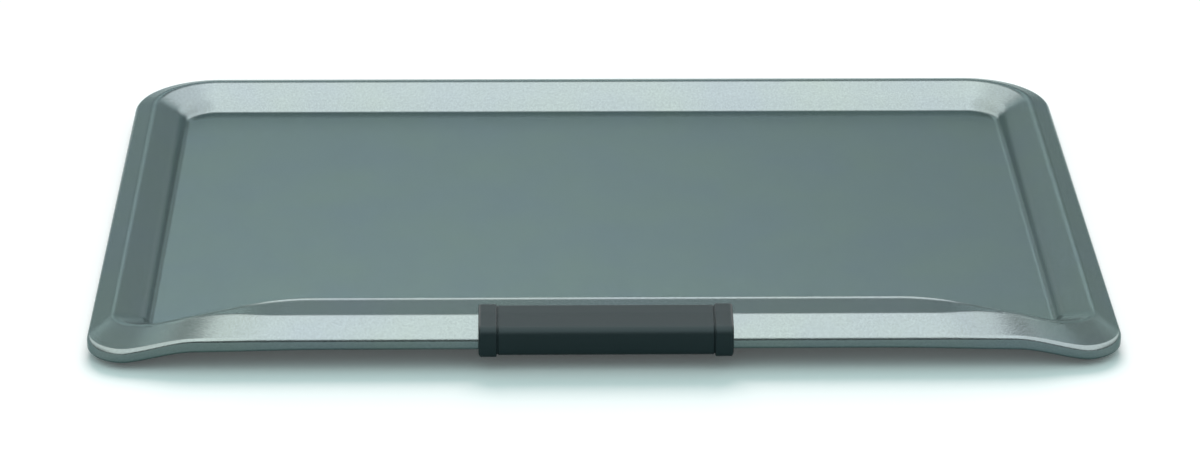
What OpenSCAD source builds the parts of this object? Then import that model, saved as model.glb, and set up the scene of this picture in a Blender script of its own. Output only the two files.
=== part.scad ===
// Jelly roll pan with one raised handle, for a 15 x 10 inch sheet of sponge.
// The tray is one pressing of steel sheet: flat floor, leaning wall, sloping flange and an
// edge that is rolled under all round. The flange widens at the front, where its middle rises
// into a handle. A soft silicone grip is moulded round the middle of that handle.
// Millimetres. +X runs along the long side, -Y points to the handle, the pan rests on z = 0.

/* [Tray] */
// width over the rolled edge, along the handle side
tray_w = 432; // [300:1:600]
// depth of the steel over the rolled edge, from the handle side to the back
tray_d = 320; // [220:1:450]
// thickness of the steel sheet
sheet_t = 0.8; // [0.5:0.05:1.5]
// height of the crest, where the wall turns over into the flange, before the bend rounds it
crest_h = 11.1; // [6:0.1:30]
// how far the wall leans out between the floor and the crest
wall_lean = 14.7; // [6:0.1:25]
// how far out the steep foot of the wall reaches
foot_lean = 3.6; // [1:0.1:6]
// height of that foot
foot_h = 4.2; // [2:0.1:8]
// width of the flange at the sides and the back, from the crest outwards
flange_w = 9.7; // [6:0.1:20]
// how far that flange slopes down on its way out
flange_fall = 2.9; // [0:0.1:4]

/* [Corners in plan] */
// radius of the floor corners at the back
floor_r_back = 14; // [5:0.5:40]
// radius of the crest corners at the back
crest_r_back = 29; // [10:0.5:60]
// radius of the outer corners at the back
edge_r_back = 38; // [15:0.5:80]
// radius of the floor corners at the handle side
floor_r_front = 8; // [4:0.5:40]
// radius of the crest corners at the handle side
crest_r_front = 13; // [8:0.5:40]
// radius of the outer corners at the handle side
edge_r_front = 19; // [12:0.5:60]

/* [Rolled edge] */
// height of the upright band of the rolled edge
band_h = 5.9; // [4:0.1:9]
// how far the roll is tucked in underneath
roll_w = 4.2; // [3:0.1:7]
// how far the tucked end turns up again inside the roll
roll_up = 2; // [1.6:0.1:4]

/* [Bends] */
// length of sheet on each side of the bend between floor and wall
floor_bend = 1.8; // [0.8:0.1:3]
// the same where the wall's steep foot ends
foot_bend = 2.4; // [0.5:0.1:4]
// the same at the crest
crest_bend = 1.9; // [0.5:0.1:3]
// the same at the crease of the handle
crease_bend = 0.7; // [0.4:0.1:2]
// the same at the upper corner of the rolled edge, at the sides and the back
edge_bend = 2.1; // [0.9:0.1:3]
// the same at that corner on the handle
handle_edge_bend = 0.9; // [0.9:0.1:3]
// the same at the two lower corners of the rolled edge
roll_bend = 1.4; // [1:0.1:2]

/* [Handle] */
// width of the flange at the handle side, from the crest outwards
handle_w = 23.5; // [14:0.5:40]
// how far the crest rises in the middle of the handle side
crest_rise = 10.7; // [0:0.1:25]
// how far the outer edge rises there
edge_rise = 5; // [0:0.1:15]
// width of the nearly level land between the crest and the crease
land_w = 13.2; // [6:0.1:20]
// how far the land slopes down
land_fall = 2; // [0:0.1:3]
// distance from the middle at which the land begins
land_from = 171; // [120:1:190]
// length over which the land grows to its full width
land_ramp = 33; // [15:1:60]
// how much lower the upright band is in the middle than at the corners
band_taper = 1; // [0:0.1:2]
// distance from the middle at which the band starts to grow lower
band_ramp_from = 175; // [120:1:200]
// length over which it does
band_ramp = 60; // [20:1:100]
// how far the crest stands outwards at the corners of the handle side
crest_out = 2.5; // [0:0.1:6]
// how far it has bowed outwards over the ends of the handle
crest_bow = 5; // [0:0.1:8]
// how much the crest climbs with that bow, as a part of it
bow_climb = 0.46; // [0:0.02:1]
// length over which the crest bows out from its corner
bow_ramp = 24; // [10:1:40]
// length over which it comes back in
bow_back = 48; // [20:1:80]
// half the length of the level stretch of the crest
level_half = 123; // [60:1:160]
// length of the slope at each end of the crest's rise
crest_ramp = 78; // [30:1:90]
// distance from the middle at which the outer edge starts to rise
edge_ramp_from = 204; // [150:1:206]
// length of that rise
edge_ramp = 34; // [15:1:60]

/* [Grip] */
// width of the grip along the handle
grip_w = 105.6; // [60:0.5:200]
// width of the raised collar at each end of the grip
collar_w = 7.6; // [4:0.1:15]
// how far the collars stand proud of the grip's body
collar_h = 0.6; // [0.2:0.05:1.5]
// width of the groove beside each collar
groove_w = 0.5; // [0.4:0.1:2]
// depth of that groove below the body
groove_d = 0.3; // [0.2:0.1:1]
// how far the grip's body stands out in front of the steel
grip_front = 1.6; // [1:0.1:4]
// how far the grip reaches below the band of the handle
grip_under = 2.5; // [1.5:0.1:5]
// radius of the lower corners of the collars, seen from the front
collar_r = 2.2; // [1:0.1:3]
// diameter of the holes in the steel that the grip is moulded through
lock_d = 5; // [3:0.5:6]
// distance between those holes
lock_pitch = 30; // [15:1:40]
// number of those holes
lock_n = 3; // [1:1:5]

/* [Hidden] */
$fn = 48;

tray_colour = [0.30, 0.33, 0.33];
grip_colour = [0.12, 0.14, 0.15];

corner_steps = 8;
// Facets in the bends of the section, from the floor out to the tucked end.
bend_steps = [4, 3, 5, 2, 4, 4, 3];

// The whole depth runs from the front of the collars to the back edge of the steel.
back_y = (tray_d + grip_front + collar_h) / 2;
front_y = back_y - tray_d;
half_w = tray_w / 2;
edge_h = crest_h - flange_fall;
crest_y = front_y + handle_w;
land_y = crest_y - land_w;

// Positions across the handle side at which its section is drawn, as fractions of the straight.
ramp_stops = [for (i = [0 : 12]) 1 - i / 13 * 0.52];
middle_stops = [0.40, 0.31];
stops = concat(ramp_stops, middle_stops);
front_stops = concat([for (s = stops) if (s < 1) -s], [for (i = [len(stops) - 1 : -1 : 1]) stops[i]]);

function clamp01(t) = min(1, max(0, t));
// A smooth step from 0 to 1 that starts and ends level.
function ease(t) = let (c = clamp01(t)) c * c * (3 - 2 * c);
function mix(a, b, t) = a + (b - a) * t;
function unit(v) = v / norm(v);

// The handle, by distance from the middle of its side. At the sides and the back it is nought.
function crest_up(p) = p.y > crest_y + crest_r_front ? 0
    : crest_rise * ease((level_half + crest_ramp - abs(p.x)) / crest_ramp);
function edge_up(p) = p.y > crest_y + crest_r_front ? 0
    : edge_rise * ease((edge_ramp_from - abs(p.x)) / edge_ramp);
function band_less(p) = p.y > crest_y + crest_r_front ? 0
    : band_taper * ease((band_ramp_from - abs(p.x)) / band_ramp);
// Nought where the land begins, near the foot of the ramp, and 1 where it is full width.
function land_part(x) = ease((land_from - abs(x)) / land_ramp);
// The bow starts where the crest leaves its corner, grows to its full width and fades out again.
bow_from = half_w - flange_w - crest_r_front;
function bow_grown(x) = ease((bow_from - abs(x)) / bow_ramp);
function bow_left(x) = 1 - ease((bow_from - abs(x) - bow_ramp) / bow_back);
function bow(x) = mix(crest_out, crest_bow, bow_grown(x)) * bow_left(x);
function bow_up(x) = bow_climb * crest_bow * bow_grown(x) * bow_left(x);

// One quarter turn of a rail, from the compass angle a.
function quarter(cx, cy, r, a) =
    [for (i = [0 : corner_steps]) let (b = a + 90 * i / corner_steps) [cx + r * cos(b), cy + r * sin(b)]];

// A rail is the plan line that one bend follows round the tray, counter-clockwise from the right.
function rail(side_in, back_in, front_in, r_back, r_front) =
    let (hx = half_w - side_in, yb = back_y - back_in, yf = front_y + front_in, sx = hx - r_front)
    concat(
        quarter(hx - r_back, yb - r_back, r_back, 0),
        quarter(r_back - hx, yb - r_back, r_back, 90),
        quarter(-sx, yf + r_front, r_front, 180),
        [for (s = front_stops) [s * sx, yf]],
        quarter(sx, yf + r_front, r_front, 270)
    );

// The direction along every rail at each station.
function turn(a) = [for (i = [0 : corner_steps]) let (b = a + 90 * i / corner_steps) [-sin(b), cos(b), 0]];
along = concat(turn(0), turn(90), turn(180), [for (s = front_stops) [1, 0, 0]], turn(270));

floor_in = flange_w + wall_lean;
floor_rail = rail(floor_in, floor_in, handle_w + wall_lean, floor_r_back, floor_r_front);
crest_rail = rail(flange_w, flange_w, handle_w - crest_out, crest_r_back, crest_r_front);
edge_rail = rail(0, 0, 0, edge_r_back, edge_r_front);
roll_rail = rail(roll_w, roll_w, roll_w, edge_r_back - roll_w, edge_r_front - roll_w);
stations = len(edge_rail);

// The corners of the section at one station, over the upper side of the sheet and down to the
// tucked end: floor, floor edge, wall foot, crest, crease, upper edge, lower edge, tuck and end.
function section_corners(i) =
    let (
        f = floor_rail[i],
        c0 = crest_rail[i],
        e = edge_rail[i],
        r = roll_rail[i],
        out = unit([c0.x - f.x, c0.y - f.y, 0]),
        front = along[i] == [1, 0, 0],
        floor_edge = [f.x, f.y, sheet_t],
        foot = floor_edge + out * foot_lean + [0, 0, foot_h],
        in = front ? crest_out - bow(c0.x) : 0,
        climb = front ? bow_up(c0.x) : 0,
        crest = [c0.x, c0.y + in, crest_h + crest_up(c0) + climb],
        edge = [e.x, e.y, edge_h + edge_up(e)],
        low = edge.z - band_h + band_less(e),
        narrow = mix(crest, edge, 0.16),
        full = [crest.x, min(crest.y - 2, land_y), crest_h + crest_rise - land_fall],
        crease = front ? mix(narrow, full, land_part(c0.x)) : mix(crest, edge, 0.4)
    )
    [
        floor_edge - out * 6,
        floor_edge,
        foot,
        crest,
        crease,
        edge,
        [e.x, e.y, low],
        [r.x, r.y, low],
        [r.x, r.y, low + roll_up]
    ];

// How much sheet each bend takes at one station.
function bend_sizes(i) =
    let (t = edge_up(edge_rail[i]) / max(edge_rise, 0.001))
    [floor_bend, foot_bend, crest_bend, crease_bend, mix(edge_bend, handle_edge_bend, t), roll_bend, roll_bend];

// A round bend at corner v between directions a and b, as points with their directions.
function bend(v, a, b, d, steps) =
    let (th = acos(min(1, max(-1, a * b))))
    th < 0.5
        ? [for (s = [0 : steps]) [v + a * d * (2 * s / steps - 1), a]]
        : let (r = d / tan(th / 2), n = (b - a * cos(th)) / sin(th))
          [for (s = [0 : steps]) let (q = th * s / steps)
              [v - a * d + r * (sin(q) * a + (1 - cos(q)) * n), cos(q) * a + sin(q) * n]];

// The section as points and directions, with every corner bent.
function section(i) =
    let (k = section_corners(i), last = len(k) - 1, d = bend_sizes(i))
    concat(
        [for (j = [1 : last - 1])
            each bend(k[j], unit(k[j] - k[j - 1]), unit(k[j + 1] - k[j]), d[j - 1], bend_steps[j - 1])],
        [[k[last], unit(k[last] - k[last - 1])]]
    );

function upper(s) = [for (p = s) p[0]];
function lower(s, dir) = [for (p = s) p[0] + unit(cross(dir, p[1])) * sheet_t];
function reversed(l) = [for (i = [len(l) - 1 : -1 : 0]) l[i]];

// The ring of points round the sheet at one station: upper side out, under side back.
function ring(i) = let (s = section(i)) concat(upper(s), reversed(lower(s, along[i])));

module sheet() {
    rings = [for (i = [0 : stations - 1]) ring(i)];
    n = len(rings[0]);
    points = [for (r = rings) each r];
    skin = [for (i = [0 : stations - 1]) for (j = [0 : n - 2])
        let (k = (i + 1) % stations) [i * n + j, k * n + j, k * n + j + 1, i * n + j + 1]];
    floor_top = [for (i = [stations - 1 : -1 : 0]) i * n];
    floor_under = [for (i = [0 : stations - 1]) i * n + n - 1];
    polyhedron(points, concat(skin, [floor_top, floor_under]), convexity = 6);
}

// The holes sit in the slope, just in front of the crease.
lock_y = land_y - lock_d / 2 - 0.5;

module at_locks() {
    for (i = [0 : lock_n - 1])
        translate([(i - (lock_n - 1) / 2) * lock_pitch, lock_y, 0]) children();
}

module tray() {
    color(tray_colour)
    difference() {
        sheet();
        at_locks() translate([0, 0, level_edge]) cylinder(d = lock_d, h = crest_h + crest_rise);
    }
}

// The level middle of the handle, in [y, z].
level_station = 3 * (corner_steps + 1) + len(stops) - 2;
level_ring = [for (p = ring(level_station)) [p.y, p.z]];
level = section_corners(level_station);
level_foot = level[6].z;
level_crease = level[4].z;
level_edge = level[5].z;

// The grip's outline in [y, z], grown by g on every side that shows.
function grip_outline(g) =
    let (
        lip = [land_y + 5.9, level_crease + land_fall * 0.45 - sheet_t / 2],
        lip_top = [land_y + 5.5, level_crease + 2 + g],
        brow = [land_y - 1.2, level_crease + 0.95 + g],
        nose = [front_y - grip_front - g, level_edge + 4.7 + g * 0.6],
        toe = [front_y - grip_front - g, level_foot - grip_under - g],
        heel = [land_y - 1, level_foot - grip_under + 1.2 - g],
        inner = [land_y + 1.8, level_foot + 1.5],
        inner_top = [land_y + 1.8, level_crease + land_fall * 0.14 - sheet_t / 2]
    )
    concat(
        [lip],
        soft(lip, lip_top, brow, 0.5),
        soft(lip_top, brow, nose, 1.2),
        soft(brow, nose, toe, 3.4),
        soft(nose, toe, heel, 2.4),
        soft(toe, heel, inner, 2.2),
        [inner, inner_top]
    );

// The corner b of an outline, rounded over the length d on each side.
function soft(a, b, c, d) =
    let (u = unit(b - a), w = unit(c - b))
    [for (p = bend([b.x, b.y, 0], [u.x, u.y, 0], [w.x, w.y, 0], d, 4)) [p[0].x, p[0].y]];

module across(w) {
    rotate([90, 0, 90]) linear_extrude(height = w, center = true) children();
}

// A plate with round lower corners, seen from the front, that trims the collars.
module grip_front_view() {
    low = level_foot - grip_under - collar_h;
    high = crest_h + crest_rise + 5;
    rotate([90, 0, 0]) linear_extrude(height = 80, center = true) {
        translate([-grip_w / 2, low + collar_r]) square([grip_w, high]);
        translate([-grip_w / 2 + collar_r, low]) square([grip_w - 2 * collar_r, 2 * collar_r]);
        for (s = [-1, 1]) translate([s * (grip_w / 2 - collar_r), low + collar_r]) circle(collar_r);
    }
}

module collar() {
    translate([grip_w / 2 - collar_w / 2, 0, 0]) across(collar_w) polygon(grip_outline(collar_h));
}

module grip_body() {
    across(grip_w - 2 * collar_w - 2 * groove_w) polygon(grip_outline(0));
    across(grip_w - collar_w) polygon(grip_outline(-groove_d));
    collar();
    mirror([1, 0, 0]) collar();
}

// The steel that the grip is moulded round, with the holes that the silicone fills.
module steel_in_grip() {
    difference() {
        across(grip_w + 2) polygon(level_ring);
        at_locks() translate([0, 0, level_edge]) cylinder(d = lock_d, h = crest_h + crest_rise);
    }
}

module grip() {
    color(grip_colour)
    difference() {
        intersection() {
            grip_body();
            translate([0, crest_y - 20, 0]) grip_front_view();
        }
        steel_in_grip();
    }
}

tray();
grip();
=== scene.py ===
# %% [markdown]
# A jelly roll pan: one shallow tray pressed from dark coated steel, with a raised handle along
# the front and a soft silicone grip round the middle of it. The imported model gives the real
# sizes in metres, with +Z up and the handle towards -Y. Everything here is built round it, so
# the first step is to load it and to measure its two pieces.

import math

import bmesh
import bpy
from mathutils import Matrix, Vector


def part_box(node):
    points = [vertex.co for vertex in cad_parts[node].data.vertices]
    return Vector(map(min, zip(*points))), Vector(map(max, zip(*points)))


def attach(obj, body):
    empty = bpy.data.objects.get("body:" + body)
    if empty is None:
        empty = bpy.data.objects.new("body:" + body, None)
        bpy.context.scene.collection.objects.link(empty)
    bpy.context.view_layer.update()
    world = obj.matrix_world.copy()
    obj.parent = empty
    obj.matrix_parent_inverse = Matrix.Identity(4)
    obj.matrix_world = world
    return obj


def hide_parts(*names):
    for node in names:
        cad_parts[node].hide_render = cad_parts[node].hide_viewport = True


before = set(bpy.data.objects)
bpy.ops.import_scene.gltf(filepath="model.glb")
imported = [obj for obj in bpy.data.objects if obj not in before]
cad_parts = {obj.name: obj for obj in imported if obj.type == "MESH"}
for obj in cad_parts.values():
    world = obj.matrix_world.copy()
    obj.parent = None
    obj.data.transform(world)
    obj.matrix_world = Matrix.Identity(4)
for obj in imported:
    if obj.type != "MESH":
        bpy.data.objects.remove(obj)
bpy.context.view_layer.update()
tray_low, tray_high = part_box("tray")
grip_low, grip_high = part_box("grip")
print("tray", [round(b - a, 4) for a, b in zip(tray_low, tray_high)])
print("grip", [round(b - a, 4) for a, b in zip(grip_low, grip_high)])

# %% [markdown]
# The photograph was taken from well back with a long lens, looking down at about 23 degrees.
# The place and the turn of the camera come from the sides of the pan, which run together
# towards the back, and from how flat the round corners look there. A long lens keeps the
# sides nearly parallel, so the focal length matters as much as the height. The camera could
# be aimed with a constraint, but three written angles can be changed one at a time.

# %% The camera
FRAME_PX = 1200
FOCAL_PX = 4413
SENSOR_MM = 36
FAR_LIMIT = 50
look_down = math.radians(22.6)
turned = math.radians(1.261)
tilted = math.radians(0.295)
camera_place = Vector((-0.03946, -1.82606, 0.75256))


def camera_turn():
    """The camera's axes as a matrix: right, up and backwards."""
    forward = Vector((math.sin(turned) * math.cos(look_down),
                      math.cos(turned) * math.cos(look_down),
                      -math.sin(look_down)))
    level = Vector((math.cos(turned), -math.sin(turned), 0))
    rise = level.cross(forward)
    right = math.cos(tilted) * level + math.sin(tilted) * rise
    up = -math.sin(tilted) * level + math.cos(tilted) * rise
    return Matrix((right, up, -forward)).transposed()


camera = bpy.data.objects.new("camera", bpy.data.cameras.new("camera"))
bpy.context.scene.collection.objects.link(camera)
camera.data.sensor_width = SENSOR_MM
camera.data.lens = SENSOR_MM * FOCAL_PX / FRAME_PX
camera.data.clip_end = FAR_LIMIT
camera.matrix_world = Matrix.Translation(camera_place) @ camera_turn().to_4x4()
bpy.context.scene.camera = camera
print("lens", round(camera.data.lens, 1), "mm, from", round(camera_place.length, 2), "m away")

# %% [markdown]
# The tray is one sheet. A press gives it a floor, a wall that leans out, a crest, and a flange
# that slopes down to an edge rolled under all round. It could be a plane with a solidify
# modifier, but then the tight bends would be guesses. Here the section is drawn at each place
# round the rim, with a true arc at every bend, and the sections are joined into a skin. The
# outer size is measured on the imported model, and the rest are the sizes of one section.

# %% Sizes of the sheet
MM = 0.001
SHEET = 0.8 * MM
CREST_HEIGHT = 11.1 * MM
WALL_LEAN = 14.7 * MM
FOOT_LEAN = 3.6 * MM
FOOT_HEIGHT = 4.2 * MM
FLANGE = 9.7 * MM
FLANGE_FALL = 2.9 * MM
HANDLE_FLANGE = 23.5 * MM
BAND = 5.9 * MM
ROLL_IN = 4.2 * MM
ROLL_UP = 2 * MM
half_width = (tray_high[0] - tray_low[0]) / 2
back = tray_high[1]
front = tray_low[1]
edge_height = CREST_HEIGHT - FLANGE_FALL
crest_line = front + HANDLE_FLANGE
print("outer width", round(2 * half_width / MM, 1), "mm")
print("floor width", round(2 * (half_width - FLANGE - WALL_LEAN) / MM, 1), "mm")

# %% [markdown]
# The handle is made of the same flange. Its crest and its outer edge rise by different
# amounts, on ramps of different lengths, and a nearly level land opens behind a crease. The
# ramps could be placed by eye, but then a change of one would mean a look at all of them. Each
# is kept as the place where it begins and the length that it takes, both measured along the
# front, because that is how a toolmaker would mark it on the press tool.

# %% Sizes of the raised handle
CREST_RISE = 10.7 * MM
LEVEL_HALF = 123 * MM
CREST_RAMP = 78 * MM
CREST_OUT = 2.5 * MM
CREST_BOW = 5 * MM
BOW_CLIMB = 0.46
BOW_RAMP = 24 * MM
BOW_BACK = 48 * MM
EDGE_RISE = 5 * MM
EDGE_RAMP_FROM = 204 * MM
EDGE_RAMP = 34 * MM
LAND = 13.2 * MM
LAND_FALL = 2 * MM
LAND_FROM = 171 * MM
LAND_RAMP = 33 * MM
BAND_TAPER = 1 * MM
BAND_RAMP_FROM = 175 * MM
BAND_RAMP = 60 * MM
land_line = crest_line - LAND
print("slope of the handle, seen from above", round((land_line - front) / MM, 1), "mm")

# %% [markdown]
# Every line round the pan turns four corners, and every corner is a quarter of a circle with
# the same number of steps. Helpers give the places on a corner and the direction of travel
# there. The front has extra steps on both sides, where the handle changes shape, and one long
# straight stretch in the middle, where nothing does. Even steps would waste faces there.

# %% Steps round a corner and along the front
CORNER_STEPS = 24
FRONT_STEPS = 56
MIDDLE_SHARE = 0.3


def ease(t):
    """A smooth step from 0 to 1 that starts and ends level."""
    t = min(1, max(0, t))
    return t * t * (3 - 2 * t)


def corner_angles(start):
    """The angles through one quarter turn."""
    return [start + math.pi / 2 * i / CORNER_STEPS for i in range(CORNER_STEPS + 1)]


def quarter(cx, cy, r, start):
    """A quarter turn about (cx, cy) as points."""
    return [Vector((cx + r * math.cos(a), cy + r * math.sin(a), 0)) for a in corner_angles(start)]


def turn_directions(start):
    """The direction of travel through one corner."""
    return [Vector((-math.sin(a), math.cos(a), 0)) for a in corner_angles(start)]


ramp_stops = [1 - (1 - MIDDLE_SHARE) * i / FRONT_STEPS for i in range(1, FRONT_STEPS + 1)]
front_stops = [-s for s in ramp_stops] + ramp_stops[::-1]
print("steps along the front", len(front_stops))

# %% [markdown]
# Four lines run round the pan in plan: the floor's edge, the crest, the outer edge and the
# inside of the roll. Each is a rectangle with round corners. The back corners are wide and the
# front ones tight, so the lines are not the same distance apart all round. A curve with an
# offset would keep them parallel, which the real pan doesn't do.

# %% The lines round the pan
FLOOR_TURN, FRONT_FLOOR_TURN = 14 * MM, 8 * MM
CREST_TURN, FRONT_CREST_TURN = 29 * MM, 13 * MM
EDGE_TURN, FRONT_EDGE_TURN = 38 * MM, 19 * MM


def rail(side_in, back_in, front_in, r_back, r_front):
    """One line round the pan, counter-clockwise from the right-hand side."""
    hx, yb, yf = half_width - side_in, back - back_in, front + front_in
    straight = hx - r_front
    return (quarter(hx - r_back, yb - r_back, r_back, 0)
            + quarter(r_back - hx, yb - r_back, r_back, math.pi / 2)
            + quarter(-straight, yf + r_front, r_front, math.pi)
            + [Vector((s * straight, yf, 0)) for s in front_stops]
            + quarter(straight, yf + r_front, r_front, math.pi * 1.5))


floor_in = FLANGE + WALL_LEAN
floor_rail = rail(floor_in, floor_in, HANDLE_FLANGE + WALL_LEAN, FLOOR_TURN, FRONT_FLOOR_TURN)
crest_rail = rail(FLANGE, FLANGE, HANDLE_FLANGE - CREST_OUT, CREST_TURN, FRONT_CREST_TURN)
edge_rail = rail(0, 0, 0, EDGE_TURN, FRONT_EDGE_TURN)
roll_rail = rail(ROLL_IN, ROLL_IN, ROLL_IN, EDGE_TURN - ROLL_IN, FRONT_EDGE_TURN - ROLL_IN)
ahead = (turn_directions(0) + turn_directions(math.pi / 2) + turn_directions(math.pi)
         + [Vector((1, 0, 0))] * len(front_stops) + turn_directions(math.pi * 1.5))
print("stations round the rim", len(edge_rail))

# %% [markdown]
# The handle is the same flange, lifted. Towards the middle of the front the crest climbs by
# about 11 mm and the outer edge by about 5 mm, and a nearly level land opens behind a crease.
# At each end the crest also bows outwards a little before it climbs. A lattice could lift the
# sheet, but then the two ends would have to be matched by eye. Here all of it is worked out
# from the distance to the middle of the front, so both ends are alike.

# %% How the handle rises


def mix(a, b, t):
    """The value that is a part t of the way from a to b."""
    return a + (b - a) * t


def on_front(p):
    """Whether a place belongs to the front and its two corners."""
    return p.y < crest_line + FRONT_CREST_TURN


def crest_up(p):
    """How far the crest is lifted there."""
    if not on_front(p):
        return 0
    return CREST_RISE * ease((LEVEL_HALF + CREST_RAMP - abs(p.x)) / CREST_RAMP)


def edge_up(p):
    """How far the outer edge is lifted there."""
    return EDGE_RISE * ease((EDGE_RAMP_FROM - abs(p.x)) / EDGE_RAMP) if on_front(p) else 0


def band_less(p):
    """How much less tall the upright band is there."""
    return BAND_TAPER * ease((BAND_RAMP_FROM - abs(p.x)) / BAND_RAMP) if on_front(p) else 0


def land_part(x):
    """How much of the land has opened there, from 0 to 1."""
    return ease((LAND_FROM - abs(x)) / LAND_RAMP)


def bow(x):
    """How far the crest stands outwards, and how far it climbs for that."""
    run = half_width - FLANGE - FRONT_CREST_TURN - abs(x)
    grown = ease(run / BOW_RAMP)
    left = 1 - ease((run - BOW_RAMP) / BOW_BACK)
    return mix(CREST_OUT, CREST_BOW, grown) * left, BOW_CLIMB * CREST_BOW * grown * left


for x in (0, 140, 180):
    place = Vector((x * MM, front, 0))
    print(x, "mm from the middle the crest is up by", round(crest_up(place) / MM, 1), "mm")

# %% [markdown]
# A section of the pan is a chain of nine corners: the floor, the floor's edge, the foot of the
# wall, the crest, the crease, the upper and the lower end of the band, and the tuck of the
# roll with its end. They could be drawn by hand as a profile, but a profile keeps one shape,
# and this one changes all along the front. First the corners are sharp, and the next step
# rounds them. On the plain flange the crease lies on the straight line between its neighbours,
# so nothing bends there.

# %% The corners of one section
CREST, CREASE, UPPER_EDGE, LOWER_EDGE = 3, 4, 5, 6
FLOOR_MARGIN = 6 * MM
NARROW_LAND = 0.16
PLAIN_CREASE = 0.4
SHORTEST_LAND = 2 * MM


def section_corners(i):
    """Floor, floor edge, wall foot, crest, crease, upper edge, lower edge, tuck and end."""
    f, c, e, r = floor_rail[i], crest_rail[i], edge_rail[i], roll_rail[i]
    first_stop = len(ahead) - CORNER_STEPS - 1 - len(front_stops)
    on_straight = first_stop <= i < first_stop + len(front_stops)
    out = (c - f).normalized()
    bowed, climb = bow(c.x) if on_straight else (CREST_OUT, 0)
    floor_edge = Vector((f.x, f.y, SHEET))
    foot = floor_edge + out * FOOT_LEAN + Vector((0, 0, FOOT_HEIGHT))
    crest = Vector((c.x, c.y + CREST_OUT - bowed, CREST_HEIGHT + crest_up(c) + climb))
    edge = Vector((e.x, e.y, edge_height + edge_up(e)))
    low = edge.z - BAND + band_less(e)
    narrow = crest.lerp(edge, NARROW_LAND)
    full = Vector((crest.x, min(crest.y - SHORTEST_LAND, land_line),
                   CREST_HEIGHT + CREST_RISE - LAND_FALL))
    if on_straight:
        crease = narrow.lerp(full, land_part(c.x))
    else:
        crease = crest.lerp(edge, PLAIN_CREASE)
    return [floor_edge - out * FLOOR_MARGIN, floor_edge, foot, crest, crease, edge,
            Vector((e.x, e.y, low)), Vector((r.x, r.y, low)), Vector((r.x, r.y, low + ROLL_UP))]


level_station = 3 * (CORNER_STEPS + 1) + FRONT_STEPS - 1
level_corners = section_corners(level_station)
for corner in level_corners:
    print("corner of the level handle: y", round(corner.y / MM, 1), "z", round(corner.z / MM, 1))

# %% [markdown]
# Sheet can't fold sharply, so each corner becomes an arc between two straight stretches. The
# arc is worked out from the length of sheet that it takes on each side, because that stays
# sensible where the corner is almost flat. A bevel would round all edges alike, and the real
# bends differ: the foot of the wall is the softest and the crease of the handle the tightest.

# %% Bend a corner
BEND_STEPS = 8
FLOOR_BEND = 1.8 * MM
WALL_BEND = 2.4 * MM
CREST_BEND = 1.9 * MM
CREASE_BEND = 1 * MM
EDGE_BEND = 2.1 * MM
HANDLE_EDGE_BEND = 1.5 * MM
ROLL_BEND = 1.4 * MM
NEARLY_STRAIGHT = 0.01


def bend_lengths(i):
    """How much sheet each bend takes at one station, from the floor to the tuck."""
    edge_bend = mix(EDGE_BEND, HANDLE_EDGE_BEND, edge_up(edge_rail[i]) / EDGE_RISE)
    return [FLOOR_BEND, WALL_BEND, CREST_BEND, CREASE_BEND, edge_bend, ROLL_BEND, ROLL_BEND]


def bend(corner, a, b, length):
    """Points of an arc from direction a to b, each with the direction of the sheet there."""
    steps = BEND_STEPS
    angle = a.angle(b)
    if angle < NEARLY_STRAIGHT:
        return [(corner + a * length * (2 * s / steps - 1), a) for s in range(steps + 1)]
    radius = length / math.tan(angle / 2)
    side = (b - a * math.cos(angle)) / math.sin(angle)
    points = []
    for s in range(steps + 1):
        q = angle * s / steps
        place = corner - a * length + radius * (math.sin(q) * a + (1 - math.cos(q)) * side)
        points.append((place, math.cos(q) * a + math.sin(q) * side))
    return points


print("bends of the level handle",
      [round(length / MM, 1) for length in bend_lengths(level_station)], "mm")

# %% [markdown]
# The press leaves a thin raised line along the ridge of the handle, and it catches the light
# there. It fades away towards the corners. It could be a separate bead laid on top, but it
# belongs to the sheet, so the section gets one more corner: the crest stands up a little on a
# tight bend, and a foot in front of it brings the sheet back to its slope.

# %% Bend the whole section
BEAD = 0.16 * MM
BEAD_SINK = 0.16 * MM
BEAD_BEND = 0.25 * MM
BEAD_FOOT = 1.3 * MM
PLAIN_FOOT = 2.4 * MM
BEAD_FOOT_BEND = 0.6 * MM


def section(i):
    """The whole section at one station, as points and directions."""
    corners = section_corners(i)
    lengths = bend_lengths(i)
    raised = land_part(crest_rail[i].x) if on_front(crest_rail[i]) else 0
    flange_way = (corners[CREASE] - corners[CREST]).normalized()
    bead_foot = corners[CREST] + flange_way * mix(PLAIN_FOOT, BEAD_FOOT, raised)
    bead_foot.z -= BEAD_SINK * raised
    bead = corners[CREST] + Vector((0, 0, BEAD * raised))
    corners = corners[:CREST] + [bead, bead_foot] + corners[CREASE:]
    lengths[CREST - 1] = mix(lengths[CREST - 1], BEAD_BEND, raised)
    lengths.insert(CREST, BEAD_FOOT_BEND)
    points = []
    for before, corner, after, length in zip(corners, corners[1:], corners[2:], lengths):
        a, b = (corner - before).normalized(), (after - corner).normalized()
        points += bend(corner, a, b, length)
    return points + [(corners[-1], (corners[-1] - corners[-2]).normalized())]


def ring(i):
    """The closed outline of the sheet at one station: out over the top, back underneath."""
    s = section(i)
    top = [p for p, d in s]
    under = [p + ahead[i].cross(d).normalized() * SHEET for p, d in s]
    return top + under[::-1]


rings = [ring(i) for i in range(len(edge_rail))]
print("points in one ring", len(rings[0]))

# %% [markdown]
# Both pieces are skins that are shaded smooth. Smooth shading alone lets every bend spread into
# the flat stretches beside it, like a soft bulge in the reflections. Extra edges beside each
# bend would hold it back. Weighted normals do the same without any new faces, because large
# flat faces then count for more than small ones.

# %% Smooth skins


def new_piece(name, mesh):
    """Puts a mesh in the scene as a smooth piece."""
    piece = bpy.data.objects.new(name, mesh)
    bpy.context.scene.collection.objects.link(piece)
    for face in mesh.polygons:
        face.use_smooth = True
    return piece


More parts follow.
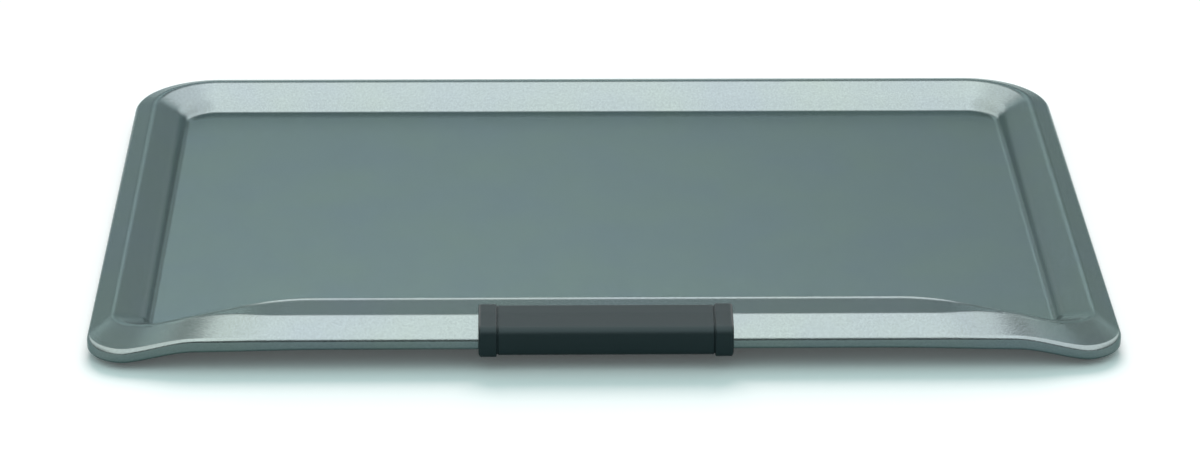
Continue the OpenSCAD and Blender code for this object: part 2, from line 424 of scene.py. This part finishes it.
def face_outwards(mesh):
    """Turns all faces the same way round, outwards."""
    skin = bmesh.new()
    skin.from_mesh(mesh)
    bmesh.ops.recalc_face_normals(skin, faces=skin.faces)
    skin.to_mesh(mesh)
    skin.free()


def keep_flats(piece):
    """Shades by face size, so that flat stretches stay flat right up to their bends."""
    weighted = piece.modifiers.new("keep flats", "WEIGHTED_NORMAL")
    weighted.mode = "FACE_AREA"
    weighted.keep_sharp = True


# %% [markdown]
# Now the rings are joined, each to the next, and the flat floor closes the skin on both sides.
# A loft tool could do this, but plain faces keep every point where the sections put it. The
# tray then stands in the place of the imported one: it hangs from the root body, and the
# imported tray is hidden.

# %% Join the sections into the tray
per_ring = len(rings[0])
faces = []
for i in range(len(rings)):
    here, there = i * per_ring, (i + 1) % len(rings) * per_ring
    faces += [(here + j, there + j, there + j + 1, here + j + 1) for j in range(per_ring - 1)]
faces.append([i * per_ring for i in range(len(rings))])
faces.append([i * per_ring + per_ring - 1 for i in reversed(range(len(rings)))])
tray_mesh = bpy.data.meshes.new("tray_sheet")
tray_mesh.from_pydata([p for r in rings for p in r], [], faces)
tray_mesh.validate()
face_outwards(tray_mesh)
tray = new_piece("tray_sheet", tray_mesh)
keep_flats(tray)
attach(tray, "root")
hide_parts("tray")
print("tray faces", len(tray_mesh.polygons))

# %% [markdown]
# The grip is silicone, moulded round the edge of the handle. It could be a block that is
# subdivided and pushed into shape, but a moulding has one outline all along, so one outline is
# pushed along the handle. It is drawn first, over the top from the rear, down the front and
# back underneath, with the same kind of bend as the sheet. It starts and ends inside the
# steel, so the handle passes through the grip without a gap.

# %% The grip's outline
GRIP_FRONT = 1.6 * MM
GRIP_UNDER = 2.5 * MM
REAR_AT_LAND = 5.9 * MM
REAR_AT_TOP = 5.5 * MM
TOP_OVER_LAND = 2 * MM
TOP_BEND_BACK = 1.2 * MM
TOP_AT_BEND = 0.95 * MM
FRONT_OVER_EDGE = 4.7 * MM
FRONT_SWELL = 0.6
HEEL = 1 * MM
HEEL_RISE = 1.2 * MM
INNER_REAR = 1.8 * MM
INNER_REAR_LOW = 1.5 * MM
REAR_FALL, INNER_REAR_FALL = 0.45, 0.14
OUTLINE_BENDS = (0.5 * MM, 1.2 * MM, 3.4 * MM, 2.4 * MM, 2.2 * MM)
level_foot = level_corners[LOWER_EDGE].z
level_crease = level_corners[CREASE].z
level_edge = level_corners[UPPER_EDGE].z


def grip_outline(g):
    """The grip's outline across the handle, grown by g on every side that shows."""
    in_land = level_crease - SHEET / 2
    bottom = level_foot - GRIP_UNDER
    face = front - GRIP_FRONT - g
    corners = [Vector((0, land_line + REAR_AT_LAND, in_land + LAND_FALL * REAR_FALL)),
               Vector((0, land_line + REAR_AT_TOP, level_crease + TOP_OVER_LAND + g)),
               Vector((0, land_line - TOP_BEND_BACK, level_crease + TOP_AT_BEND + g)),
               Vector((0, face, level_edge + FRONT_OVER_EDGE + g * FRONT_SWELL)),
               Vector((0, face, bottom - g)),
               Vector((0, land_line - HEEL, bottom + HEEL_RISE - g)),
               Vector((0, land_line + INNER_REAR, level_foot + INNER_REAR_LOW))]
    points = [corners[0]]
    for j, length in enumerate(OUTLINE_BENDS, start=1):
        a = (corners[j] - corners[j - 1]).normalized()
        b = (corners[j + 1] - corners[j]).normalized()
        points += [p for p, d in bend(corners[j], a, b, length)]
    inner_top = Vector((0, land_line + INNER_REAR, in_land + LAND_FALL * INNER_REAR_FALL))
    return points + [corners[-1], inner_top]


outline_size = len(grip_outline(0))
print("points in the grip's outline", outline_size)

# %% [markdown]
# On its way along the handle the outline grows and shrinks a little. There is a raised collar
# with a soft rim at each end, a fine groove beside it, and the plain body between. The lower
# corners of the collars are round when they are seen from the front. Cutting and bevelling
# would do it too, but one rule for the swell keeps the skin in one piece.

# %% How far the grip swells along the handle
COLLAR = 7.6 * MM
COLLAR_RISE = 0.6 * MM
COLLAR_STEP = 0.35 * MM
COLLAR_TURN = 2.2 * MM
RIM_ROUND = 1.2 * MM
GROOVE = 0.5 * MM
GROOVE_DEPTH = 0.3 * MM
GROOVE_LEAD = 0.3 * MM
grip_half = (grip_high[0] - grip_low[0]) / 2
body_end = grip_half - COLLAR - GROOVE


def swell(x):
    """How far the outline stands out at a distance x from the middle of the grip."""
    x = abs(x)
    if x > grip_half - RIM_ROUND:
        t = (x - grip_half + RIM_ROUND) / RIM_ROUND
        return COLLAR_RISE - RIM_ROUND * (1 - math.sqrt(max(0, 1 - t * t)))
    if x > grip_half - COLLAR:
        t = min(1, (x - grip_half + COLLAR) / COLLAR_STEP)
        return -GROOVE_DEPTH + (COLLAR_RISE + GROOVE_DEPTH) * math.sqrt(1 - (1 - t) ** 2)
    return -GROOVE_DEPTH * ease((x - body_end + GROOVE_LEAD) / GROOVE)


def lowest(x):
    """The round lower corner of a collar, seen from the front."""
    past = max(0, abs(x) - grip_half + COLLAR_TURN)
    bottom = level_foot - GRIP_UNDER - COLLAR_RISE
    return bottom + COLLAR_TURN - math.sqrt(max(0, COLLAR_TURN ** 2 - past ** 2))


for x in (body_end + GROOVE / 2, grip_half - COLLAR / 2, grip_half):
    print("swell", round(swell(x) / MM, 2), "mm at", round(x / MM, 1), "mm from the middle")

# %% [markdown]
# The outline is placed close together where the swell changes and far apart along the plain
# body. Even steps would either blur the groove or waste thousands of faces on a straight
# stretch. The right half is listed and then mirrored, so both collars are alike.

# %% Where the outlines stand
BODY_STOPS = [0, 15 * MM, 30 * MM]
BODY_LAST = 0.6 * MM
GROOVE_FIRST = 0.4 * MM
GROOVE_STEP = 0.1 * MM
COLLAR_EDGE_STEP = 0.05 * MM
COLLAR_FIRST = 1 * MM
RIM_FIRST = 1.3 * MM
CLOSE_STEPS = 8


def grip_stops():
    """Places along one half of the grip, close together where the swell changes."""
    collar_from = grip_half - COLLAR
    places = BODY_STOPS + [body_end - BODY_LAST]
    places += [body_end - GROOVE_FIRST + i * GROOVE_STEP for i in range(CLOSE_STEPS)]
    places += [collar_from + i * COLLAR_EDGE_STEP for i in range(CLOSE_STEPS)]
    places += [collar_from + COLLAR_FIRST, grip_half - COLLAR / 2, grip_half - RIM_FIRST]
    turns = [math.pi / 2 * i / CLOSE_STEPS for i in range(CLOSE_STEPS + 1)]
    return places + [grip_half - RIM_ROUND * (1 - math.sin(turn)) for turn in turns]


half_stops = grip_stops()
all_stops = [-x for x in reversed(half_stops[1:])] + half_stops
print("outlines along the grip", len(all_stops))

# %% [markdown]
# The skin is made as the tray's is: each outline is joined to the next, and a flat face closes
# each end. A union of a bar and two collars would also do, but its seams show as lines in the
# sheen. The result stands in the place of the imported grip.

# %% Join the outlines into the grip


def grip_mesh():
    """The grip as a skin over its outlines, with flat ends."""
    points = []
    for x in all_stops:
        points += [Vector((x, p.y, max(p.z, lowest(x)))) for p in grip_outline(swell(x))]
    skin = []
    for i in range(len(all_stops) - 1):
        here, there = i * outline_size, (i + 1) * outline_size
        for j in range(outline_size):
            k = (j + 1) % outline_size
            skin.append((here + j, there + j, there + k, here + k))
    last = (len(all_stops) - 1) * outline_size
    skin.append(list(range(outline_size)))
    skin.append([last + j for j in reversed(range(outline_size))])
    mesh = bpy.data.meshes.new("grip_skin")
    mesh.from_pydata(points, [], skin)
    face_outwards(mesh)
    return mesh


grip = new_piece("grip_skin", grip_mesh())
keep_flats(grip)
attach(grip, "root")
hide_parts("grip")
print("grip faces", len(grip.data.polygons))

# %% [markdown]
# Both finishes have a fine grain and a slow cloud, so they are one node group with its own
# sizes in each material. It gives two masks between 0 and 1: the fleck for the fine grain and
# the cloud for the slow change. An image could do it, but a procedural grain has no seams and
# stays sharp up close.

# %% The grain group
FINE_DETAIL, FINE_ROUGH = 3, 0.6
CLOUD_DETAIL = 4


def grain_group():
    """Fleck and cloud as a shader node group with its own sizes in each material."""
    group = bpy.data.node_groups.new("grain", "ShaderNodeTree")
    for name, size in (("Fine Scale", 900), ("Cloud Scale", 12)):
        socket = group.interface.new_socket(name, in_out="INPUT", socket_type="NodeSocketFloat")
        socket.default_value = size
    for name in ("Fleck", "Cloud"):
        group.interface.new_socket(name, in_out="OUTPUT", socket_type="NodeSocketFloat")
    nodes, links = group.nodes, group.links
    given = nodes.new("NodeGroupInput")
    result = nodes.new("NodeGroupOutput")
    place = nodes.new("ShaderNodeTexCoord")
    fine = nodes.new("ShaderNodeTexNoise")
    fine.inputs["Detail"].default_value = FINE_DETAIL
    fine.inputs["Roughness"].default_value = FINE_ROUGH
    cloud = nodes.new("ShaderNodeTexNoise")
    cloud.inputs["Detail"].default_value = CLOUD_DETAIL
    for texture, size, mask in ((fine, "Fine Scale", "Fleck"), (cloud, "Cloud Scale", "Cloud")):
        links.new(place.outputs["Object"], texture.inputs["Vector"])
        links.new(given.outputs[size], texture.inputs["Scale"])
        links.new(texture.outputs["Fac"], result.inputs[mask])
    return group


grain = grain_group()
print("grain nodes", len(grain.nodes))

# %% [markdown]
# Both materials start in the same way, with a Principled shader and the grain at the sizes of
# that finish. They could be one material with a mask, but then neither could be used again on
# another piece. Small helpers keep the common start in one place.

# %% A material with its grain


def new_material(name):
    """A material, its nodes, its links and its Principled shader."""
    material = bpy.data.materials.new(name)
    material.use_nodes = True
    tree = material.node_tree
    return material, tree.nodes, tree.links, tree.nodes["Principled BSDF"]


def place_grain(nodes, fine_scale, cloud_scale):
    """The grain group at the sizes of one finish."""
    texture = nodes.new("ShaderNodeGroup")
    texture.node_tree = grain
    texture.inputs["Fine Scale"].default_value = fine_scale
    texture.inputs["Cloud Scale"].default_value = cloud_scale
    return texture


print("masks that the grain gives", [mask.name for mask in grain.nodes["Group Output"].inputs][:2])

# %% [markdown]
# What the masks do is alike too. The cloud mixes two close tints, the fleck is pressed in as a
# bump, and a range node says how far a mask may move a value. A bump is enough for a grain
# this fine: real displacement would need millions of faces and look the same.

# %% Tints, bumps and ranges


def two_tints(nodes, links, factor, first, second):
    """Mixes two tints by a mask."""
    tint = nodes.new("ShaderNodeMix")
    tint.data_type = "RGBA"
    tint.inputs["A"].default_value = (*first, 1)
    tint.inputs["B"].default_value = (*second, 1)
    links.new(factor, tint.inputs["Factor"])
    return tint.outputs["Result"]


def press_in(nodes, links, height, shader, strength, distance):
    """Turns a mask into a bump on the shader."""
    bump = nodes.new("ShaderNodeBump")
    bump.inputs["Strength"].default_value = strength
    bump.inputs["Distance"].default_value = distance
    links.new(height, bump.inputs["Height"])
    links.new(bump.outputs["Normal"], shader.inputs["Normal"])


def remap(nodes, low, high, to_low, to_high):
    """A node that turns values from low to high into values from to_low to to_high."""
    node = nodes.new("ShaderNodeMapRange")
    values = (low, high, to_low, to_high)
    for name, value in zip(("From Min", "From Max", "To Min", "To Max"), values):
        node.inputs[name].default_value = value
    return node


print("ready: two_tints, press_in and remap")

# %% [markdown]
# The coating is a dark grey, with a fine fleck and a faint cloud of green and blue. It reflects
# like satin: a surface that mirrors the bright dome overhead turns almost white, and the others
# stay dark. Metallic makes three quarters of it a tinted mirror, and the last quarter is dull,
# so that the bends and the foot of the wall keep a soft grey where they mirror something dark.
# A painted gloss with a clear coat would look wet here.

# %% The coated steel
COAT_GREEN = (0.128, 0.170, 0.165)
COAT_BLUE = (0.124, 0.163, 0.172)
COAT_GRAIN = (1100, 22)
COAT_CLOUD = (0.35, 0.65)
COAT_FLECK = (0.3, 0.7, 0.92, 1.09)
COAT_ROUGH = (0.185, 0.215)
COAT_METALLIC = 0.75
COAT_SPECULAR = (0.38, 0.46, 0.46, 1)
COAT_BUMP = (1, 0.00006)


def coating():
    """The dark coated steel."""
    material, nodes, links, shader = new_material("coated_steel")
    texture = place_grain(nodes, *COAT_GRAIN)
    spread = remap(nodes, *COAT_CLOUD, 0, 1)
    links.new(texture.outputs["Cloud"], spread.inputs["Value"])
    tint = two_tints(nodes, links, spread.outputs["Result"], COAT_GREEN, COAT_BLUE)
    fleck = remap(nodes, *COAT_FLECK)
    links.new(texture.outputs["Fleck"], fleck.inputs["Value"])
    flecked = nodes.new("ShaderNodeVectorMath")
    flecked.operation = "SCALE"
    links.new(tint, flecked.inputs["Vector"])
    links.new(fleck.outputs["Result"], flecked.inputs["Scale"])
    links.new(flecked.outputs["Vector"], shader.inputs["Base Color"])
    rough = remap(nodes, 0, 1, *COAT_ROUGH)
    links.new(texture.outputs["Cloud"], rough.inputs["Value"])
    links.new(rough.outputs["Result"], shader.inputs["Roughness"])
    shader.inputs["Metallic"].default_value = COAT_METALLIC
    shader.inputs["Specular Tint"].default_value = COAT_SPECULAR
    press_in(nodes, links, texture.outputs["Fleck"], shader, *COAT_BUMP)
    return material


tray.data.materials.append(coating())
print("tray finish", tray.data.materials[0].name)

# %% [markdown]
# Silicone is soft and dull. It is almost black where it faces away from the light and a mid
# grey where it faces up, because its surface scatters a pale sheen. Sheen in the shader would
# light up its edges like cloth, so plain roughness does it, with a tint on the highlight.

# %% The silicone
SILICONE_DARK = (0.007, 0.013, 0.014)
SILICONE_LIGHT = (0.009, 0.016, 0.018)
SILICONE_GRAIN = (2600, 40)
SILICONE_ROUGH = 0.4
SILICONE_IOR = 1.41
SILICONE_LEVEL = 0.5
SILICONE_SPECULAR = (0.38, 0.55, 0.57, 1)
SILICONE_BUMP = (0.3, 0.00003)


def silicone():
    """The soft dark grip."""
    material, nodes, links, shader = new_material("silicone")
    texture = place_grain(nodes, *SILICONE_GRAIN)
    tint = two_tints(nodes, links, texture.outputs["Cloud"], SILICONE_DARK, SILICONE_LIGHT)
    links.new(tint, shader.inputs["Base Color"])
    shader.inputs["Roughness"].default_value = SILICONE_ROUGH
    shader.inputs["IOR"].default_value = SILICONE_IOR
    shader.inputs["Specular IOR Level"].default_value = SILICONE_LEVEL
    shader.inputs["Specular Tint"].default_value = SILICONE_SPECULAR
    press_in(nodes, links, texture.outputs["Fleck"], shader, *SILICONE_BUMP)
    return material


grip.data.materials.append(silicone())
print("grip finish", grip.data.materials[0].name)

# %% [markdown]
# The pan stands on a plain white sweep. Its colour makes the ground white, and a faint glow
# that only the camera and the mirror images see lifts it to the same white as the room, so no
# horizon shows. The sun has only to be bright enough for a soft shadow. Seen from below the
# floor is clear, so that the underside of the pan can be looked at.

# %% The floor
FLOOR_WHITE = (0.95, 0.95, 0.95, 1)
FLOOR_ROUGH = 0.9
FLOOR_GLOW = 0.06
FLOOR_SIZE = 12
FLOOR_DROP = 0.05 * MM


def math_node(nodes, links, operation, a, b):
    """A node that works out one number from two others."""
    node = nodes.new("ShaderNodeMath")
    node.operation = operation
    links.new(a, node.inputs[0])
    links.new(b, node.inputs[1])
    return node.outputs["Value"]


def white_floor():
    """White from above and clear from below."""
    material, nodes, links, shader = new_material("white_floor")
    shader.inputs["Base Color"].default_value = FLOOR_WHITE
    shader.inputs["Roughness"].default_value = FLOOR_ROUGH
    shader.inputs["Specular IOR Level"].default_value = 0
    seen = nodes.new("ShaderNodeLightPath")
    looked_at = math_node(nodes, links, "MAXIMUM",
                          seen.outputs["Is Camera Ray"], seen.outputs["Is Glossy Ray"])
    glow = remap(nodes, 0, 1, 0, FLOOR_GLOW)
    links.new(looked_at, glow.inputs["Value"])
    shader.inputs["Emission Color"].default_value = (1, 1, 1, 1)
    links.new(glow.outputs["Result"], shader.inputs["Emission Strength"])
    side = nodes.new("ShaderNodeNewGeometry")
    one_way = nodes.new("ShaderNodeMixShader")
    links.new(side.outputs["Backfacing"], one_way.inputs["Fac"])
    links.new(shader.outputs["BSDF"], one_way.inputs[1])
    links.new(nodes.new("ShaderNodeBsdfTransparent").outputs["BSDF"], one_way.inputs[2])
    links.new(one_way.outputs["Shader"], nodes["Material Output"].inputs["Surface"])
    return material


bpy.ops.mesh.primitive_plane_add(size=FLOOR_SIZE, location=(0, 0, -FLOOR_DROP))
floor = bpy.context.object
floor.name = "floor"
floor.data.materials.append(white_floor())
print("floor", round(-floor.location.z / MM, 2), "mm below the pan")

# %% [markdown]
# One low sun stands behind the pan. It only makes the soft shadow under the front edge, so it
# is left out of the mirror images. An area lamp could make it too, but its shadow would change
# with the size and the distance of the lamp. The wide angle of the sun gives the shadow its
# soft rim, and its warm colour leaves the shadow a cool grey green, as in the photograph.

# %% The sun
SUN_STRENGTH = 3.0
SUN_WIDTH = math.radians(34)
SUN_HEIGHT = math.radians(57)
SUN_COLOUR = (1, 0.8, 0.81)
low_sun = bpy.data.lights.new("low_sun", "SUN")
low_sun.energy = SUN_STRENGTH
low_sun.angle = SUN_WIDTH
low_sun.color = SUN_COLOUR
sun = bpy.data.objects.new("low_sun", low_sun)
bpy.context.scene.collection.objects.link(sun)
sun.rotation_euler = (-SUN_HEIGHT, 0, 0)
sun.visible_glossy = False
print("sun", round(math.degrees(SUN_HEIGHT)), "degrees from straight overhead")

# %% [markdown]
# The room is white to the camera. To the shiny steel it is a studio: a white dome overhead
# that comes down at both sides, dimmer walls behind, and dark where the camera stands.
# The back wall of the pan and the slope of the handle mirror the dome, and the floor of the
# pan mirrors the walls. Lamps would leave hard lines in the bends, and a world that changes
# slowly with direction has none. Its direction comes as three numbers: X across, Y away from
# the camera and Z up.

# %% An empty room
world = bpy.data.worlds.new("room")
bpy.context.scene.world = world
world.use_nodes = True
nodes, links = world.node_tree.nodes, world.node_tree.links
nodes.clear()
direction = nodes.new("ShaderNodeTexCoord")
split = nodes.new("ShaderNodeSeparateXYZ")
links.new(direction.outputs["Generated"], split.inputs["Vector"])
print("directions", [number.name for number in split.outputs])

# %% [markdown]
# The walls are what the floor of the pan mirrors. One ramp runs up them and one across, and
# their product fades towards the camera. The bright step two fifths of the way up is the light
# on the front of the pan's floor, and the dark gap under it keeps the middle of the floor
# deeper. A studio picture would do the same, but ramps need no file and can be changed stop by
# stop.

# %% The walls of the room
WALLS = 1.95
WALLS_NEAR = 0.1
WALLS_FADE = (-0.25, 0.45)
ASIDE = (-0.5, 0.5)
UP_THE_WALLS = [(0, 1.3), (0.05, 0.85), (0.1, 0.44), (0.14, 0.5), (0.19, 0.7), (0.27, 0.62),
                (0.31, 0.56), (0.35, 0.2), (0.37, 0.2), (0.385, 0.38), (0.4, 1.5), (0.43, 2.1),
                (0.48, 1.0), (0.53, 0.34), (0.6, 0.32), (0.65, 0.76), (0.72, 0.64), (1, 0.4)]
ACROSS_THE_WALLS = [(0, 0.77), (0.2, 0.78), (0.35, 0.95), (0.5, 0.98), (0.62, 0.72),
                    (0.66, 0.64), (0.72, 0.67), (1, 0.68)]


def ramp(nodes, stops):
    """A ramp of greys through (place, grey) pairs."""
    node = nodes.new("ShaderNodeValToRGB")
    greys = node.color_ramp.elements
    for element, (place, grey) in zip(greys, (stops[0], stops[-1])):
        element.position, element.color = place, (grey, grey, grey, 1)
    for place, grey in stops[1:-1]:
        greys.new(place).color = (grey, grey, grey, 1)
    return node


up = ramp(nodes, UP_THE_WALLS)
links.new(split.outputs["Z"], up.inputs["Fac"])
aside = remap(nodes, *ASIDE, 0, 1)
links.new(split.outputs["X"], aside.inputs["Value"])
across = ramp(nodes, ACROSS_THE_WALLS)
links.new(aside.outputs["Result"], across.inputs["Fac"])
behind = remap(nodes, *WALLS_FADE, WALLS_NEAR * WALLS, WALLS)
links.new(split.outputs["Y"], behind.inputs["Value"])
pattern = math_node(nodes, links, "MULTIPLY", up.outputs["Color"], across.outputs["Color"])
walls = math_node(nodes, links, "MULTIPLY", pattern, behind.outputs["Result"])
print("stops up the walls", len(UP_THE_WALLS), "and across them", len(ACROSS_THE_WALLS))

# %% [markdown]
# The dome is what the bright slopes mirror. It ends softly towards the rear, towards the
# camera and low down, and both of its long edges curve away from the middle, so that it comes
# down further at the sides. It could be a large lit shell round the pan, but a shell would
# also be in the way of the camera. All its edges are smooth steps, because any hard edge there
# shows as a line in the coating.

# %% The dome in that room
DOWN_THE_SIDES = [(0, 1), (0.06, 0.77), (0.5, 0.7), (0.75, 0.48), (1, 0.42)]
REAR_EDGE, REAR_CURVE = (0.7, 0.35), -2
NEAR_EDGE, NEAR_CURVE = (-0.88, -0.66), 2.5
LOW_EDGE = (0, 0.45)


def curved(nodes, links, along, square, amount):
    """The distance along, moved by an amount that grows with the square of the other way."""
    node = nodes.new("ShaderNodeMath")
    node.operation = "MULTIPLY_ADD"
    node.inputs[1].default_value = amount
    links.new(square, node.inputs[0])
    links.new(along, node.inputs[2])
    return node.outputs["Value"]


square = math_node(nodes, links, "MULTIPLY", split.outputs["X"], split.outputs["X"])
rear = remap(nodes, *REAR_EDGE, 0, 1)
links.new(curved(nodes, links, split.outputs["Y"], square, REAR_CURVE), rear.inputs["Value"])
near = remap(nodes, *NEAR_EDGE, 0, 1)
links.new(curved(nodes, links, split.outputs["Y"], square, NEAR_CURVE), near.inputs["Value"])
low = remap(nodes, *LOW_EDGE, 0, 1)
links.new(split.outputs["Z"], low.inputs["Value"])
for soft_edge in (rear, near, low):
    soft_edge.interpolation_type = "SMOOTHSTEP"
sides = ramp(nodes, DOWN_THE_SIDES)
links.new(square, sides.inputs["Fac"])
lengthways = math_node(nodes, links, "MULTIPLY", rear.outputs["Result"], near.outputs["Result"])
sideways = math_node(nodes, links, "MULTIPLY", low.outputs["Result"], sides.outputs["Color"])
dome = math_node(nodes, links, "MULTIPLY", lengthways, sideways)
print("room nodes so far", len(nodes))

# %% [markdown]
# The walls and the dome each get their colour, a cool one and a warmer one, and the brighter
# of the two is what a mirror image shows. Adding them would leave a seam where they overlap.
# Dull surfaces see only a plain fill, about twice as strong from behind as from the front.

# %% The walls and the dome joined
DOME = 5.5
WALL_COLOUR = (0.93, 0.97, 0.97)
DOME_COLOUR = (0.99 * DOME, 0.89 * DOME, 0.88 * DOME)
FILL_COLOUR = (0.73, 1, 0.985)
FILL_FADE = (-0.6, 0.7, 0.49, 1.0)


def plain(nodes, colour):
    """A background of one colour."""
    node = nodes.new("ShaderNodeBackground")
    node.inputs["Color"].default_value = (*colour, 1)
    return node


def tinted(colour, level):
    """A colour as bright as the level says."""
    node = nodes.new("ShaderNodeVectorMath")
    node.operation = "SCALE"
    node.inputs[0].default_value = colour
    links.new(level, node.inputs["Scale"])
    return node.outputs["Vector"]


brighter = nodes.new("ShaderNodeVectorMath")
brighter.operation = "MAXIMUM"
links.new(tinted(WALL_COLOUR, walls), brighter.inputs[0])
links.new(tinted(DOME_COLOUR, dome), brighter.inputs[1])
studio = nodes.new("ShaderNodeBackground")
links.new(brighter.outputs["Vector"], studio.inputs["Color"])
fill = plain(nodes, FILL_COLOUR)
from_behind = remap(nodes, *FILL_FADE)
links.new(split.outputs["Y"], from_behind.inputs["Value"])
links.new(from_behind.outputs["Result"], fill.inputs["Strength"])
print("dome", round(max(DOME_COLOUR), 2), "times as bright as plain white")

# %% [markdown]
# Light Path tells the world who is looking. The camera, and anything seen through something
# clear, gets plain white. Mirror images get the studio, and every other ray gets the fill. One
# background for all of them would be simpler, but then the room could be white or the steel
# could have its light and dark bands, and not both.

# %% Who sees what
seen = nodes.new("ShaderNodeLightPath")
shiny = nodes.new("ShaderNodeMixShader")
links.new(seen.outputs["Is Glossy Ray"], shiny.inputs["Fac"])
links.new(fill.outputs["Background"], shiny.inputs[1])
links.new(studio.outputs["Background"], shiny.inputs[2])
white = plain(nodes, (1, 1, 1))
straight_on = math_node(nodes, links, "MAXIMUM",
                        seen.outputs["Is Camera Ray"], seen.outputs["Is Transmission Ray"])
pick = nodes.new("ShaderNodeMixShader")
links.new(straight_on, pick.inputs["Fac"])
links.new(shiny.outputs["Shader"], pick.inputs[1])
links.new(white.outputs["Background"], pick.inputs[2])
output = nodes.new("ShaderNodeOutputWorld")
links.new(pick.outputs["Shader"], output.inputs["Surface"])
bpy.context.scene.view_settings.view_transform = "Standard"
print("view transform", bpy.context.scene.view_settings.view_transform)
